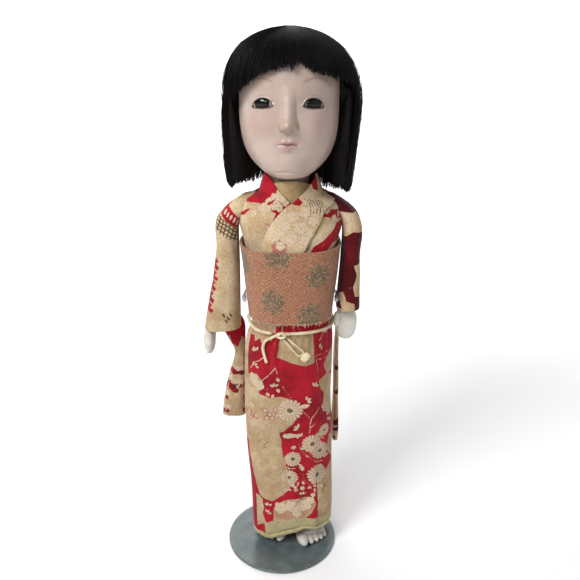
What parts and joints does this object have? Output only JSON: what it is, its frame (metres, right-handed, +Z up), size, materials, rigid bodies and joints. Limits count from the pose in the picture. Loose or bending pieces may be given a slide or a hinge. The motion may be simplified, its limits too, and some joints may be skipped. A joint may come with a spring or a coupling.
{
  "type": "ichimatsu doll on stand",
  "caption": "Dressed Japanese play doll with bobbed hair, glass eyes, printed kimono, brocade sash and tied cord, held at the waist by a round metal doll stand.",
  "frame": {"origin": "centre of the stand base's underside", "axes": "+Z up, the doll faces -Y, the doll's left is +X"},
  "size_m": [0.1327, 0.1105, 0.4568],
  "materials": {
    "stand_paint": "blue-grey paint, satin",
    "steel": "bright wire",
    "clip_vinyl": "soft pale tip",
    "composition": "pressed sawdust composition",
    "cotton": "stuffed cotton",
    "gofun_white": "white shell lacquer over composition",
    "gofun_face": "flesh shell lacquer over composition, satin",
    "eye_glass": "dark glass",
    "hair": "straight black hair",
    "kimono_silk": "printed crepe silk, red and cream",
    "hem_silk": "padded plain silk",
    "collar_silk": "plain cream silk",
    "brocade": "woven brocade",
    "cord": "ivory silk cord"
  },
  "bodies": {
    "stand": {"stand_base": "stand_paint", "post_foot": "stand_paint", "post_tube": "stand_paint"},
    "post": {"post_rod": "steel"},
    "head": {"head": "gofun_face", "left_eye": "eye_glass", "right_eye": "eye_glass", "wig": "hair"},
    "left_arm": {"left_upper_arm": "cotton", "left_forearm_hand": "gofun_white", "left_sleeve": "kimono_silk"},
    "right_arm": {"right_upper_arm": "cotton", "right_forearm_hand": "gofun_white", "right_sleeve": "kimono_silk"},
    "doll": {"waist_clip": "steel", "clip_tip_left": "clip_vinyl", "clip_tip_right": "clip_vinyl", "chest_block": "composition", "waist_cloth": "cotton", "hip_block": "composition", "left_thigh": "cotton", "right_thigh": "cotton", "left_lower_leg": "gofun_white", "right_lower_leg": "gofun_white", "kimono_left_front": "kimono_silk", "kimono_right_front": "kimono_silk", "kimono_back": "kimono_silk", "padded_hem": "hem_silk", "collar_left": "kimono_silk", "collar_right": "kimono_silk", "inner_collar": "collar_silk", "obi_sash": "brocade", "obi_knot": "brocade", "waist_cord": "cord", "cord_knot": "cord", "cord_left_tail": "cord", "cord_right_loop": "cord", "cord_tassel": "cord"}
  },
  "joints": [
    {"name": "post_height", "type": "slide", "parent": "stand", "child": "post", "axis": [0, 0, 1], "range_m": [0, 0.04]},
    {"name": "post_turn", "type": "hinge", "parent": "post", "child": "doll", "pos_m": [0.008, 0.0435, 0.245], "axis": [0, 0, 1], "range_deg": [-20, 20]},
    {"name": "neck_turn", "type": "hinge", "parent": "doll", "child": "head", "pos_m": [0.007, 0.012, 0.326], "axis": [0, 0, 1], "range_deg": [-30, 30]},
    {"name": "left_shoulder", "type": "hinge", "parent": "doll", "child": "left_arm", "pos_m": [0.053, 0.012, 0.31285], "axis": [-1, 0, 0], "range_deg": [-10, 45]},
    {"name": "right_shoulder", "type": "hinge", "parent": "doll", "child": "right_arm", "pos_m": [-0.037, 0.012, 0.31285], "axis": [-1, 0, 0], "range_deg": [-10, 45]}
  ]
}
